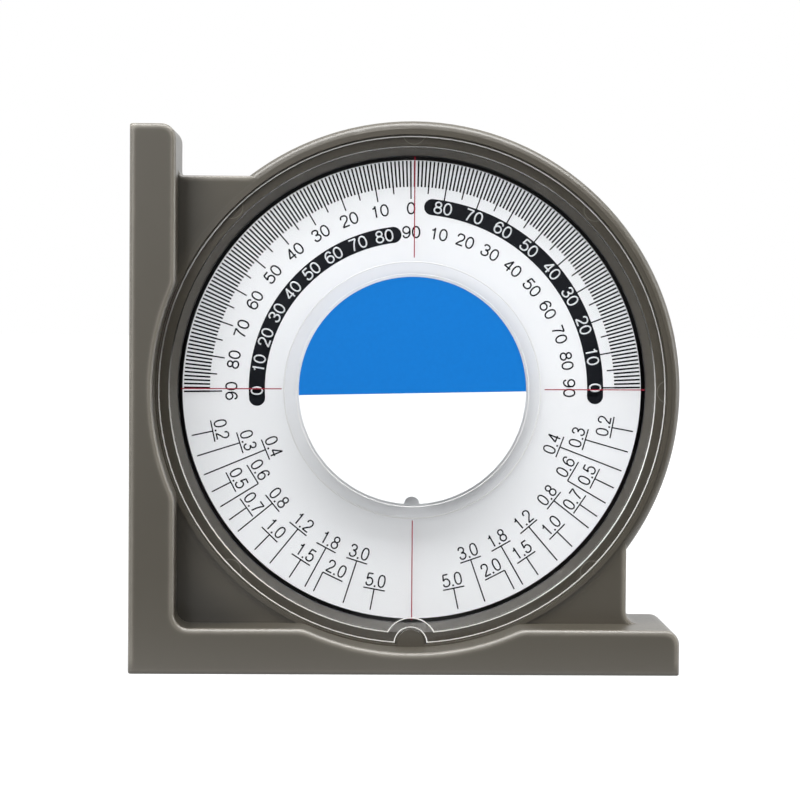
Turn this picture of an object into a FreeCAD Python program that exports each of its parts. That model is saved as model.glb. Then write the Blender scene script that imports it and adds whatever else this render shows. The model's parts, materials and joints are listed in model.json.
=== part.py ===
"""Dial inclinometer with a magnetic base and side, in millimetres.

The tool stands on its base leg. X runs to the right, Z runs up and the dial faces -Y.
The origin is on the base face, under the middle of the whole outline.
Angles are measured in the dial's plane, from +X towards +Z, as the reader of the dial sees them.
"""

import FreeCAD, Part
import math
import os

# Outline: a round drum, a side leg and a base leg at right angles, and flat webs between them
drum_radius = 49.0
body_depth = 28.0
drum_side_margin = 2.0        # from the side leg's outer face to the drum
drum_floor = 1.8              # from the base face to the drum
leg_thickness = 8.2
leg_proud = 10.5              # how far the legs stand in front of the drum and webs
base_leg_short = 0.9          # the base leg ends this far inside the drum's right edge
side_leg_short = 1.3          # the side leg ends this far below the drum's top
web_above_centre = 38.8       # the upper web's top edge, above the dial's centre
web_right_of_centre = 39.45   # the lower web's end edge, right of the dial's centre

# Rounds on the housing
leg_corner_radius = 2.6
leg_heel_radius = 0.4
leg_edge_radius = 0.7
leg_blend_radius = 4.0        # where a leg's inner edge runs into its round bite
drum_edge_radius = 1.4
web_edge_radius = 0.5
upper_web_root_radius = 1.2
lower_web_root_radius = 2.4

# Walls of the housing
housing_wall = 2.0
cover_rim = 1.2               # the thin wall left round the cover
leg_ledge = 1.2               # the cover's seat along the legs

# The front of the drum: collar, lens seat, funnel and dial well
rim_width = 2.4               # from the lens pocket out to the drum's outer face
collar_width = 0.8
collar_height = 0.5
leg_bite_margin = 0.3         # the legs are cut back this far outside the lens pocket
funnel_width = 1.7
funnel_depth = 1.9
well_depth = 2.1
chamber_step = 0.5

# Lens
lens_clearance = 0.3
lens_flange_width = 1.9
lens_flange_thickness = 1.0
lens_plate_thickness = 1.9
lens_edge_radius = 0.25
lens_front_rise = 0.1         # the flange's front stands this far out of the drum's face
lens_boss_radius = 23.5
lens_boss_height = 1.0
label_recess_depth = 0.3

# The key that stops the lens turning, at the bottom of the drum
key_radius = 2.5
key_clearance = 0.4
key_flange_width = 1.75

# Centre label
label_radius = 20.7
label_clearance = 0.5
label_thickness = 0.15
label_notch_radius = 1.4

# Dial and what it carries
dial_gap = 0.75               # round the dial's edge
dial_thickness = 1.0
dial_behind_lens = 2.0
hub_spigot_radius = 3.0
hub_spigot_rise = 0.4
hub_flange_radius = 6.0
hub_flange_thickness = 1.2
hub_body_radius = 3.5
hub_body_length = 4.4
press_clearance = 0.02        # between pieces that are pushed together and stay together
push_nut_radius = 5.5
push_nut_thickness = 0.4
push_nut_slots = 6
push_nut_slot_width = 0.6
push_nut_slot_length = 1.3

# Spindle and bearings
spindle_radius = 1.0
pivot_radius = 0.5
pivot_length = 1.4
pivot_clearance = 0.05
spindle_end_play = 0.2
pivot_tip_clearance = 0.2
bearing_radius = 2.0
bearing_length = 2.0
bearing_chamfer = 0.2

# Counterweight: a steel segment on two studs behind the dial's lower half
weight_inner_radius = 22.0
weight_outer_radius = 38.0
weight_half_angle = 50.0
weight_thickness = 3.0
weight_corner_radius = 1.5
stud_circle_radius = 30.0
stud_half_angle = 30.0
stud_radius = 2.0
stud_clearance = 0.15
stud_short = 0.2              # the studs end this far below the weight's face
weight_screw_radius = 0.8
weight_screw_head_radius = 2.8
weight_screw_head_height = 1.1
weight_screw_length = 2.4

# Rear cover and its screws
cover_thickness = 2.0
cover_clearance = 0.15
rear_post_length = 4.8
rear_post_radius = 4.5
gusset_length = 9.0           # out from the post's axis
gusset_thickness = 1.2
gusset_short = 1.0            # the gussets end this far below the post's front
gusset_angles = (45.0, 135.0, 225.0, 315.0)
cover_screw_radius = 1.0
cover_screw_length = 8.0
cover_screw_head_radius = 1.9
cover_screw_angles = (45.0, 135.0, 225.0, 315.0)
cover_screw_land = 0.3        # of the cover, outside a screw's countersink
screw_hole_clearance = 0.2
thread_clearance = 0.05
cross_recess_length = 2.8     # from tip to tip
cross_recess_width = 0.6
cross_recess_depth = 0.7

# Lightening slots in the drum's thick rear wall
wall_slot_wall = 2.0
wall_slot_width = 2.0
wall_slot_depth = 9.0
wall_slot_spans = ((-30.0, 37.0), (53.0, 122.0))

# V groove, magnets and keepers in each leg's outer face
groove_half_width = 4.1
groove_depth = 2.4
magnet_length = 22.0
magnet_width = 6.8
magnet_thickness = 2.5
magnet_offset = 34.0          # along the leg, from the dial's centre to the magnet's middle
magnet_clearance = 0.1
magnet_recess = 0.1           # below the leg's face
keeper_thickness = 0.8

# Places that follow from the sizes above
body_width = 2.0 * drum_radius + drum_side_margin
left_x = -0.5 * body_width
right_x = 0.5 * body_width
centre_x = right_x - drum_radius
centre_z = drum_floor + drum_radius
top_z = centre_z + drum_radius
front_y = -0.5 * body_depth
rear_y = 0.5 * body_depth
face_y = front_y + leg_proud
collar_y = face_y - collar_height
side_leg_x = left_x + leg_thickness
side_leg_top = top_z - side_leg_short
base_leg_end = right_x - base_leg_short
web_top = centre_z + web_above_centre
web_end = centre_x + web_right_of_centre

pocket_radius = drum_radius - rim_width
lens_radius = pocket_radius - lens_clearance
lens_plate_radius = lens_radius - lens_flange_width
leg_bite_radius = pocket_radius + leg_bite_margin
well_radius = lens_plate_radius - funnel_width
chamber_radius = well_radius + chamber_step
dial_radius = well_radius - dial_gap
label_recess_radius = label_radius + label_clearance
key_z = centre_z - lens_radius

flange_front_y = face_y - lens_front_rise
seat_y = flange_front_y + lens_flange_thickness
lens_front_y = seat_y - lens_plate_thickness
boss_rear_y = seat_y + lens_boss_height
label_floor_y = lens_front_y + label_recess_depth
well_front_y = seat_y + funnel_depth
well_rear_y = well_front_y + well_depth
dial_front_y = seat_y + dial_behind_lens
dial_rear_y = dial_front_y + dial_thickness
weight_rear_y = dial_rear_y + weight_thickness

cover_front_y = rear_y - cover_thickness
post_front_y = cover_front_y - rear_post_length
screw_hole_radius = cover_screw_radius + screw_hole_clearance
screw_sink_radius = cover_screw_head_radius + screw_hole_clearance
cover_edge_radius = drum_radius - cover_rim - cover_clearance
screw_circle_radius = cover_edge_radius - cover_screw_land - screw_sink_radius
magnet_inner_y = groove_half_width
magnet_outer_y = magnet_inner_y + magnet_width
keeper_depth = magnet_recess + magnet_thickness
pocket_depth = keeper_depth + keeper_thickness

up_to_reader = FreeCAD.Vector(0, -1, 0)
into_depth = FreeCAD.Vector(0, 1, 0)
dial_axis_point = FreeCAD.Vector(centre_x, 0, centre_z)
slack = 1.0                   # how far a cutting tool runs past the face it cuts


def round_bar(radius, y_front, y_rear, x=centre_x, z=centre_z):
    """A cylinder along the depth."""
    return Part.makeCylinder(radius, y_rear - y_front, FreeCAD.Vector(x, y_front, z), into_depth)


def ring(outer_radius, inner_radius, y_front, y_rear):
    """A tube round the dial's axis."""
    return round_bar(outer_radius, y_front, y_rear).cut(round_bar(inner_radius, y_front, y_rear))


def block(x_low, x_high, y_low, y_high, z_low, z_high):
    """A box given by its limits."""
    corner = FreeCAD.Vector(x_low, y_low, z_low)
    return Part.makeBox(x_high - x_low, y_high - y_low, z_high - z_low, corner)


def at_angle(radius, degrees):
    """The x and z of a point on a circle round the dial's centre."""
    angle = math.radians(degrees)
    return centre_x + radius * math.cos(angle), centre_z + radius * math.sin(angle)


def rounded_prism(corners, y_front, y_rear):
    """A prism along the depth over corners of (x, z, corner radius)."""
    edges = []
    starts = []
    ends = []
    arcs = []
    for index, (x, z, radius) in enumerate(corners):
        corner = FreeCAD.Vector(x, y_front, z)
        before = FreeCAD.Vector(corners[index - 1][0], y_front, corners[index - 1][1])
        following = corners[(index + 1) % len(corners)]
        after = FreeCAD.Vector(following[0], y_front, following[1])
        if radius == 0:
            starts.append(corner)
            ends.append(corner)
            arcs.append(None)
            continue
        to_before = (before - corner).normalize()
        to_after = (after - corner).normalize()
        half = 0.5 * to_before.getAngle(to_after)
        middle = (to_before + to_after).normalize()
        start = corner + to_before * (radius / math.tan(half))
        end = corner + to_after * (radius / math.tan(half))
        crown = corner + middle * (radius / math.sin(half) - radius)
        starts.append(start)
        ends.append(end)
        arcs.append(Part.Arc(start, crown, end).toShape())
    for index in range(len(corners)):
        if arcs[index] is not None:
            edges.append(arcs[index])
        next_start = starts[(index + 1) % len(corners)]
        edges.append(Part.LineSegment(ends[index], next_start).toShape())
    face = Part.Face(Part.Wire(edges))
    return face.extrude(FreeCAD.Vector(0, y_rear - y_front, 0))


def turned(profile):
    """A solid turned about the dial's axis from corners of (radius, y)."""
    points = [FreeCAD.Vector(centre_x + radius, y, centre_z) for radius, y in profile]
    points.append(points[0])
    face = Part.Face(Part.makePolygon(points))
    return face.revolve(dial_axis_point, into_depth, 360)


def front_edges(shape, y_level):
    """The edges of a shape that lie wholly in one plane of the depth."""
    found = []
    for edge in shape.Edges:
        if abs(edge.BoundBox.YMin - y_level) < 1e-6 and abs(edge.BoundBox.YMax - y_level) < 1e-6:
            found.append(edge)
    return found


def sector(outer_radius, inner_radius, start_degrees, end_degrees, y_front, y_rear):
    """A slice of a ring between two angles."""
    outer = round_bar(outer_radius, y_front, y_rear)
    reach = 2.0 * outer_radius    # far enough that the wedge's flat ends lie outside the ring
    middle = 0.5 * (start_degrees + end_degrees)
    points = []
    for degrees in (start_degrees, middle, end_degrees):
        x, z = at_angle(reach, degrees)
        points.append(FreeCAD.Vector(x, y_front, z))
    centre = FreeCAD.Vector(centre_x, y_front, centre_z)
    wedge_face = Part.Face(Part.makePolygon([centre] + points + [centre]))
    wedge = wedge_face.extrude(FreeCAD.Vector(0, y_rear - y_front, 0))
    return outer.common(wedge).cut(round_bar(inner_radius, y_front, y_rear))


def legs_outline():
    """The corners of the two legs, which are one L."""
    return [
        (left_x, 0.0, leg_heel_radius),
        (base_leg_end, 0.0, leg_heel_radius),
        (base_leg_end, leg_thickness, leg_corner_radius),
        (side_leg_x, leg_thickness, leg_corner_radius),
        (side_leg_x, side_leg_top, leg_corner_radius),
        (left_x, side_leg_top, leg_heel_radius),
    ]


def make_legs():
    """The L of the legs, with a round bite in front of the drum so that the lens is clear."""
    proud = rounded_prism(legs_outline(), front_y, face_y)
    proud = proud.cut(round_bar(leg_bite_radius, front_y - slack, face_y + slack))
    bite_corners = []
    for edge in proud.Edges:
        box = edge.BoundBox
        along_depth = box.XLength < 1e-6 and box.ZLength < 1e-6
        radius = math.hypot(box.Center.x - centre_x, box.Center.z - centre_z)
        if along_depth and abs(radius - leg_bite_radius) < 1e-4:
            bite_corners.append(edge)
    proud = proud.makeFillet(leg_blend_radius, bite_corners)
    proud = proud.makeFillet(leg_edge_radius, front_edges(proud, front_y))
    behind = rounded_prism(legs_outline(), face_y, rear_y)
    return proud.fuse(behind)


def web_outline(inset_free, inset_legs, with_roots):
    """The corners of the webs: inset from their free edges and from the legs."""
    into_leg = side_leg_x + inset_legs
    into_base = leg_thickness + inset_legs
    top = web_top - inset_free
    end = web_end - inset_free
    corners = [(into_leg, into_base, 0.0)]
    if with_roots:
        corners.append((into_leg, top + 2.0 * upper_web_root_radius, 0.0))
        corners.append((side_leg_x, top + 2.0 * upper_web_root_radius, 0.0))
        corners.append((side_leg_x, top, upper_web_root_radius))
    else:
        corners.append((into_leg, top, 0.0))
    corners.append((centre_x, top, 0.0))
    corners.append((centre_x, centre_z, 0.0))
    corners.append((end, centre_z, 0.0))
    if with_roots:
        corners.append((end, leg_thickness, lower_web_root_radius))
        corners.append((end + 2.0 * lower_web_root_radius, leg_thickness, 0.0))
        corners.append((end + 2.0 * lower_web_root_radius, into_base, 0.0))
    else:
        corners.append((end, into_base, 0.0))
    return corners


def make_webs():
    """The flat webs that fill the corners between the legs and the drum."""
    webs = rounded_prism(web_outline(0.0, -housing_wall, True), face_y, rear_y)
    free_edges = []
    for edge in front_edges(webs, face_y):
        box = edge.BoundBox
        upper_free = box.ZMin > web_top - 1e-6 and box.ZMax < web_top + upper_web_root_radius + 1e-6
        right_free = box.XMin > web_end - 1e-6 and box.XMax < web_end + lower_web_root_radius + 1e-6
        if upper_free or (right_free and box.ZMin > leg_thickness - 1e-6):
            free_edges.append(edge)
    return webs.makeFillet(web_edge_radius, free_edges)


def cover_outline_solid(clearance, y_front, y_rear):
    """The shape of the rear cover, smaller all round by a clearance."""
    disc = round_bar(drum_radius - cover_rim - clearance, y_front, y_rear)
    corners = web_outline(cover_rim + clearance, clearance, False)
    return disc.fuse(rounded_prism(corners, y_front, y_rear)).removeSplitter()


def magnet_places():
    """Name, leg and middle of each magnet pocket along its leg."""
    return (
        ("left", "base", centre_x - magnet_offset),
        ("right", "base", centre_x + magnet_offset),
        ("lower", "side", centre_z - magnet_offset),
        ("upper", "side", centre_z + magnet_offset),
    )


def in_leg(leg, along_low, along_high, y_low, y_high, depth_low, depth_high):
    """A box in a leg, by its length along the leg and its depth under the leg's outer face."""
    if leg == "base":
        return block(along_low, along_high, y_low, y_high, depth_low, depth_high)
    return block(left_x + depth_low, left_x + depth_high, y_low, y_high, along_low, along_high)


def groove(leg):
    """The V groove along the whole outer face of a leg."""
    if leg == "base":
        points = [
            FreeCAD.Vector(left_x - slack, -groove_half_width, 0),
            FreeCAD.Vector(left_x - slack, 0, groove_depth),
            FreeCAD.Vector(left_x - slack, groove_half_width, 0),
        ]
        run = FreeCAD.Vector(body_width + 2.0 * slack, 0, 0)
        lower = FreeCAD.Vector(0, 0, -slack)
    else:
        points = [
            FreeCAD.Vector(left_x, -groove_half_width, -slack),
            FreeCAD.Vector(left_x + groove_depth, 0, -slack),
            FreeCAD.Vector(left_x, groove_half_width, -slack),
        ]
        run = FreeCAD.Vector(0, 0, top_z + 2.0 * slack)
        lower = FreeCAD.Vector(-slack, 0, 0)
    points = [points[0] + lower] + points + [points[2] + lower, points[0] + lower]
    return Part.Face(Part.makePolygon(points)).extrude(run)


def make_housing():
    """The front moulding: drum, webs, legs, collar, lens seat and every hole in them."""
    drum = round_bar(drum_radius, face_y, rear_y)
    drum = drum.makeFillet(drum_edge_radius, front_edges(drum, face_y))
    body = drum.fuse([make_webs(), make_legs()])
    body = body.fuse(ring(pocket_radius + collar_width, pocket_radius, collar_y, seat_y))
    cuts = []
    cuts.append(round_bar(pocket_radius, collar_y - slack, seat_y))
    cuts.append(turned([
        (0.0, seat_y - slack),
        (lens_plate_radius, seat_y - slack),
        (lens_plate_radius, seat_y),
        (well_radius, well_front_y),
        (well_radius, well_rear_y),
        (chamber_radius, well_rear_y),
        (chamber_radius, rear_y + slack),
        (0.0, rear_y + slack),
    ]))
    cuts.append(cover_outline_solid(0.0, cover_front_y, rear_y + slack))
    web_core = rounded_prism(
        web_outline(housing_wall, leg_ledge, False), face_y + housing_wall, rear_y
    )
    cuts.append(web_core.cut(round_bar(drum_radius, face_y, rear_y)))
    slot_outer = drum_radius - wall_slot_wall
    for start_degrees, end_degrees in wall_slot_spans:
        cuts.append(sector(
            slot_outer,
            slot_outer - wall_slot_width,
            start_degrees,
            end_degrees,
            cover_front_y - wall_slot_depth,
            rear_y,
        ))
    for degrees in cover_screw_angles:
        x, z = at_angle(screw_circle_radius, degrees)
        tip = rear_y - cover_screw_length - slack
        cuts.append(round_bar(cover_screw_radius + thread_clearance, tip, rear_y, x, z))
    for leg in ("base", "side"):
        cuts.append(groove(leg))
    for _, leg, middle in magnet_places():
        half = 0.5 * magnet_length + magnet_clearance
        width = magnet_outer_y + magnet_clearance
        cuts.append(in_leg(leg, middle - half, middle + half, -width, width, -slack, pocket_depth))
    body = body.cut(cuts)
    key = round_bar(key_radius, collar_y, seat_y, centre_x, key_z)
    return body.fuse(key).removeSplitter()


def make_lens():
    """The clear lens: flange, raised plate, label recess, rear boss and the notch for the key."""
    flange = round_bar(lens_radius, flange_front_y, seat_y)
    notch_radius = key_radius + key_clearance
    detour_radius = notch_radius + key_flange_width
    plate = round_bar(lens_plate_radius, lens_front_y, seat_y)
    plate = plate.cut(round_bar(detour_radius, lens_front_y, seat_y, centre_x, key_z))
    plate = plate.makeFillet(lens_edge_radius, front_edges(plate, lens_front_y))
    flange = flange.cut(round_bar(notch_radius, flange_front_y, seat_y, centre_x, key_z))
    flange = flange.makeFillet(lens_edge_radius, front_edges(flange, flange_front_y))
    lens = flange.fuse(plate)
    lens = lens.fuse(round_bar(lens_boss_radius, seat_y, boss_rear_y))
    lens = lens.cut(round_bar(label_recess_radius, lens_front_y - slack, label_floor_y))
    bearing_front = boss_rear_y - bearing_length
    lens = lens.cut(round_bar(bearing_radius + press_clearance, bearing_front, boss_rear_y))
    return lens.removeSplitter()


def make_centre_label():
    """The round label in the lens's front recess, with a small notch at its foot."""
    front = label_floor_y - label_thickness
    label = round_bar(label_radius, front, label_floor_y)
    foot_z = centre_z - label_radius
    return label.cut(round_bar(label_notch_radius, front, label_floor_y, centre_x, foot_z))


def make_bearing(mouth_y, facing):
    """A blind bush for one pivot. facing is 1 when its mouth looks to the rear, or -1."""
    closed_y = mouth_y - facing * bearing_length
    bore_end = mouth_y - facing * (pivot_length - spindle_end_play + pivot_tip_clearance)
    bush = round_bar(bearing_radius, min(mouth_y, closed_y), max(mouth_y, closed_y))
    bush = bush.makeChamfer(bearing_chamfer, front_edges(bush, closed_y))
    bore = round_bar(pivot_radius + pivot_clearance, min(mouth_y, bore_end), max(mouth_y, bore_end))
    return bush.cut(bore)


def make_spindle():
    """The steel spindle with a thinner pivot at each end."""
    front_shoulder = boss_rear_y + spindle_end_play
    rear_shoulder = post_front_y - spindle_end_play
    spindle = round_bar(spindle_radius, front_shoulder, rear_shoulder)
    front_pivot = round_bar(pivot_radius, front_shoulder - pivot_length, front_shoulder)
    rear_pivot = round_bar(pivot_radius, rear_shoulder, rear_shoulder + pivot_length)
    return spindle.fuse([front_pivot, rear_pivot]).removeSplitter()


def stud_places():
    """The x and z of the studs behind the dial."""
    return [at_angle(stud_circle_radius, 270.0 + side * stud_half_angle) for side in (-1, 1)]


def make_dial_plate():
    """The white disc with its centre hole and the two studs that carry the counterweight."""
    plate = round_bar(dial_radius, dial_front_y, dial_rear_y)
    for x, z in stud_places():
        plate = plate.fuse(round_bar(stud_radius, dial_rear_y, weight_rear_y - stud_short, x, z))
    for x, z in stud_places():
        pilot_front = weight_rear_y - weight_screw_length
        pilot_radius = weight_screw_radius + thread_clearance
        plate = plate.cut(round_bar(pilot_radius, pilot_front, weight_rear_y, x, z))
    hole_radius = hub_spigot_radius + press_clearance
    return plate.cut(round_bar(hole_radius, dial_front_y, dial_rear_y)).removeSplitter()


def make_dial_hub():
    """The hub that grips the spindle: a spigot through the dial, a flange and a long body."""
    spigot = round_bar(hub_spigot_radius, dial_front_y - hub_spigot_rise, dial_rear_y)
    flange = round_bar(hub_flange_radius, dial_rear_y, dial_rear_y + hub_flange_thickness)
    body_front = dial_rear_y + hub_flange_thickness
    body = round_bar(hub_body_radius, body_front, body_front + hub_body_length)
    hub = spigot.fuse([flange, body])
    bore_radius = spindle_radius + press_clearance
    bore = round_bar(bore_radius, dial_front_y - slack, body_front + hub_body_length + slack)
    return hub.cut(bore).removeSplitter()


def make_hub_push_nut():
    """The toothed spring washer that holds the dial on the hub's spigot."""
    inner_radius = hub_spigot_radius + press_clearance
    nut = ring(push_nut_radius, inner_radius, dial_front_y - push_nut_thickness, dial_front_y)
    for index in range(push_nut_slots):
        slot = block(
            centre_x,
            centre_x + inner_radius + push_nut_slot_length,
            dial_front_y - push_nut_thickness,
            dial_front_y,
            centre_z - 0.5 * push_nut_slot_width,
            centre_z + 0.5 * push_nut_slot_width,
        )
        slot.rotate(dial_axis_point, into_depth, index * 360.0 / push_nut_slots)
        nut = nut.cut(slot)
    return nut


def make_counterweight():
    """The steel segment that keeps the dial's zero upright."""
    start = 270.0 - weight_half_angle
    end = 270.0 + weight_half_angle
    weight = sector(weight_outer_radius, weight_inner_radius, start, end, dial_rear_y, weight_rear_y)
    corners = []
    for edge in weight.Edges:
        box = edge.BoundBox
        if box.XLength < 1e-6 and box.ZLength < 1e-6:
            corners.append(edge)
    weight = weight.makeFillet(weight_corner_radius, corners)
    for x, z in stud_places():
        hole_radius = stud_radius + stud_clearance
        weight = weight.cut(round_bar(hole_radius, dial_rear_y, weight_rear_y, x, z))
    return weight


def cross_recess(x, z, y_head):
    """The cutting shape of a cross recess in a screw head that faces the rear."""
    half = 0.5 * cross_recess_width
    reach = 0.5 * cross_recess_length
    front = y_head - cross_recess_depth
    wide = block(x - reach, x + reach, front, y_head + slack, z - half, z + half)
    tall = block(x - half, x + half, front, y_head + slack, z - reach, z + reach)
    return wide.fuse(tall)


def make_counterweight_screws():
    """The two flat-headed screws in the studs."""
    screws = []
    for x, z in stud_places():
        head_rear = weight_rear_y + weight_screw_head_height
        shank_front = weight_rear_y - weight_screw_length + thread_clearance
        head = round_bar(weight_screw_head_radius, weight_rear_y, head_rear, x, z)
        shank = round_bar(weight_screw_radius, shank_front, weight_rear_y, x, z)
        screws.append(head.fuse(shank).cut(cross_recess(x, z, head_rear)).removeSplitter())
    return Part.makeCompound(screws)


def countersink(radius_at_face, radius_inside, x, z):
    """A cone that narrows from the tool's rear face into the cover."""
    depth = radius_at_face - radius_inside
    corner = FreeCAD.Vector(x, rear_y, z)
    return Part.makeCone(radius_at_face, radius_inside, depth, corner, up_to_reader)


def make_rear_cover():
    """The flat back plate with the post for the rear bearing and the sunk screw holes."""
    cover = cover_outline_solid(cover_clearance, cover_front_y, rear_y)
    cover = cover.fuse(round_bar(rear_post_radius, post_front_y, cover_front_y))
    gusset_front_y = post_front_y + gusset_short
    for degrees in gusset_angles:
        gusset = Part.Face(Part.makePolygon([
            FreeCAD.Vector(centre_x, cover_front_y, centre_z),
            FreeCAD.Vector(centre_x + gusset_length, cover_front_y, centre_z),
            FreeCAD.Vector(centre_x + rear_post_radius, gusset_front_y, centre_z),
            FreeCAD.Vector(centre_x, gusset_front_y, centre_z),
            FreeCAD.Vector(centre_x, cover_front_y, centre_z),
        ]))
        gusset.translate(FreeCAD.Vector(0, 0, -0.5 * gusset_thickness))
        solid = gusset.extrude(FreeCAD.Vector(0, 0, gusset_thickness))
        solid.rotate(dial_axis_point, into_depth, degrees)
        cover = cover.fuse(solid)
    socket_radius = bearing_radius + press_clearance
    cover = cover.cut(round_bar(socket_radius, post_front_y, post_front_y + bearing_length))
    for degrees in cover_screw_angles:
        x, z = at_angle(screw_circle_radius, degrees)
        cover = cover.cut(round_bar(screw_hole_radius, cover_front_y, rear_y, x, z))
        cover = cover.cut(countersink(screw_sink_radius, screw_hole_radius, x, z))
    return cover.removeSplitter()


def make_cover_screws():
    """The four countersunk screws that hold the rear cover."""
    screws = []
    for degrees in cover_screw_angles:
        x, z = at_angle(screw_circle_radius, degrees)
        head = countersink(cover_screw_head_radius, cover_screw_radius, x, z)
        shank = round_bar(cover_screw_radius, rear_y - cover_screw_length, rear_y, x, z)
        screw = head.fuse(shank).cut(cross_recess(x, z, rear_y))
        screws.append(screw.removeSplitter())
    return Part.makeCompound(screws)


def make_magnets_and_keepers():
    """Two bar magnets and the steel keeper behind them, in each of the four pockets."""
    pieces = {}
    for place, leg, middle in magnet_places():
        low = middle - 0.5 * magnet_length
        high = middle + 0.5 * magnet_length
        sides = (("front", -magnet_outer_y, -magnet_inner_y), ("rear", magnet_inner_y, magnet_outer_y))
        for side, y_low, y_high in sides:
            magnet = in_leg(leg, low, high, y_low, y_high, magnet_recess, keeper_depth)
            pieces[f"{leg}_magnet_{place}_{side}"] = magnet
        keeper = in_leg(leg, low, high, -magnet_outer_y, magnet_outer_y, keeper_depth, pocket_depth)
        pieces[f"{leg}_keeper_{place}"] = keeper
    return pieces


parts = {
    "housing": make_housing(),
    "rear_cover": make_rear_cover(),
    "cover_screws": make_cover_screws(),
    "lens": make_lens(),
    "centre_label": make_centre_label(),
    "front_bearing": make_bearing(boss_rear_y, 1),
    "rear_bearing": make_bearing(post_front_y, -1),
    "dial_plate": make_dial_plate(),
    "dial_hub": make_dial_hub(),
    "hub_push_nut": make_hub_push_nut(),
    "dial_spindle": make_spindle(),
    "counterweight": make_counterweight(),
    "counterweight_screws": make_counterweight_screws(),
}
parts.update(make_magnets_and_keepers())

os.makedirs("parts", exist_ok=True)
for name, shape in parts.items():
    shape.exportStep(f"parts/{name}.step")
    box = shape.BoundBox
    size = f"{box.XLength:7.2f} x {box.YLength:6.2f} x {box.ZLength:7.2f} mm"
    print(f"{name:26s} {len(shape.Solids):2d} solid(s)  {size}  valid {shape.isValid()}")
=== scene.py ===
# %% [markdown]
# # A dial inclinometer
# The tool is a round drum in the angle of two legs. A weighted white dial hangs behind a clear lens
# and stays upright while the case turns round it. The imported model holds every solid piece in its real
# place. This notebook gives the pieces their finishes, prints the dial, lights them and sets a camera on them.

# %% Load the imported model
import json
import math
from functools import partial
import bmesh
import bpy
from mathutils import Matrix, Vector


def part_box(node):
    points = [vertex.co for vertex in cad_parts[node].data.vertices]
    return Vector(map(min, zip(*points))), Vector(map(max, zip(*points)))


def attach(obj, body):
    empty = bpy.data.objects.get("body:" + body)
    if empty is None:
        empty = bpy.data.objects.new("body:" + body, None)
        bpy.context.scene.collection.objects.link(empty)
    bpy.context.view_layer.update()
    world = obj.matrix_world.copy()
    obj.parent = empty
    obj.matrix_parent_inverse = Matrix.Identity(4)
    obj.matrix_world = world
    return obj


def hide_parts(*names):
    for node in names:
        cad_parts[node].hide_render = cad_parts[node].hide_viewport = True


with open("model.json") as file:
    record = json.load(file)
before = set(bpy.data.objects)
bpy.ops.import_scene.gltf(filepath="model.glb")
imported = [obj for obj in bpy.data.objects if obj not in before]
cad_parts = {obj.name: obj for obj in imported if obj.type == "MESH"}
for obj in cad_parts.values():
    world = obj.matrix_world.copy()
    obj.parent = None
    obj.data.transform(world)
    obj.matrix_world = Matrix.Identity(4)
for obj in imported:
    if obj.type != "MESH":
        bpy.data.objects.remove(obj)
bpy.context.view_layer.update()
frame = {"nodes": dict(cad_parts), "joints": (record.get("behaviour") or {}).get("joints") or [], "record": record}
nodes = frame["nodes"]

# %% [markdown]
# ## Places
# Everything that is printed or placed later hangs on a few places of the solid pieces: the dial's axis,
# its front face, and the lens's front and rear. They are read from the model, so that a print stays on
# its surface when a size changes.

# %% Places read from the model
MM = 0.001
axis_x, _, axis_z = frame["joints"][0]["pos_m"]
dial_low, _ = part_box("dial_plate")
lens_low, lens_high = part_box("lens")
dial_face_y = dial_low.y
print("axis", round(axis_x, 5), round(axis_z, 5), "dial face y", round(dial_face_y, 5))

# %% [markdown]
# ## Camera
# The photograph was taken from a little left of the dial's axis and a little above it, from about 57 cm.
# The drum's circle and the legs' edges gave the place, the turn and the focal length. A turn about Z, a
# tilt about X and a small roll about the line of sight are applied in that order. The image is 800 by 800.

# %% Camera
camera_place = Vector((-16.98, -570.74, 71.83)) * MM
camera_yaw = math.radians(-1.588)
camera_tilt = math.radians(-2.300)
camera_roll = math.radians(-0.422)
image_width = 800
focal_pixels = 3115.4
camera_data = bpy.data.cameras.new("camera")
camera_data.sensor_width = 36.0
camera_data.lens = focal_pixels / image_width * camera_data.sensor_width
camera_data.clip_start = 0.01
camera = bpy.data.objects.new("camera", camera_data)
look_along_y = Matrix.Rotation(math.radians(90), 4, "X")
yaw_and_tilt = Matrix.Rotation(camera_yaw, 4, "Z") @ Matrix.Rotation(camera_tilt, 4, "X")
roll = Matrix.Rotation(camera_roll, 4, "Y")
camera.matrix_world = Matrix.Translation(camera_place) @ yaw_and_tilt @ roll @ look_along_y
bpy.context.scene.collection.objects.link(camera)
bpy.context.scene.camera = camera
bpy.context.scene.view_settings.view_transform = "Standard"
print("lens", round(camera_data.lens, 1), "mm")

# %% [markdown]
# ## Lamps
# The photograph has soft light, most of it from above. A long lamp overhead gives that. Two broad lamps in
# front fill the faces, and a tall lamp at each side draws light lines along the rounded edges. A sun or a
# point lamp would give hard shadows, so each one is an area lamp, whose size sets how soft its light is.

# %% Lamp helper
def add_lamp(name, place, width, height, power, aim):
    """A soft rectangular lamp that faces a point."""
    data = bpy.data.lights.new(name, "AREA")
    data.shape = "RECTANGLE"
    data.size = width
    data.size_y = height
    data.energy = power
    lamp = bpy.data.objects.new(name, data)
    turned = (aim - place).to_track_quat("-Z", "Y").to_matrix().to_4x4()
    lamp.matrix_world = Matrix.Translation(place) @ turned
    bpy.context.scene.collection.objects.link(lamp)
    print("lamp", name, power, "W")

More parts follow.
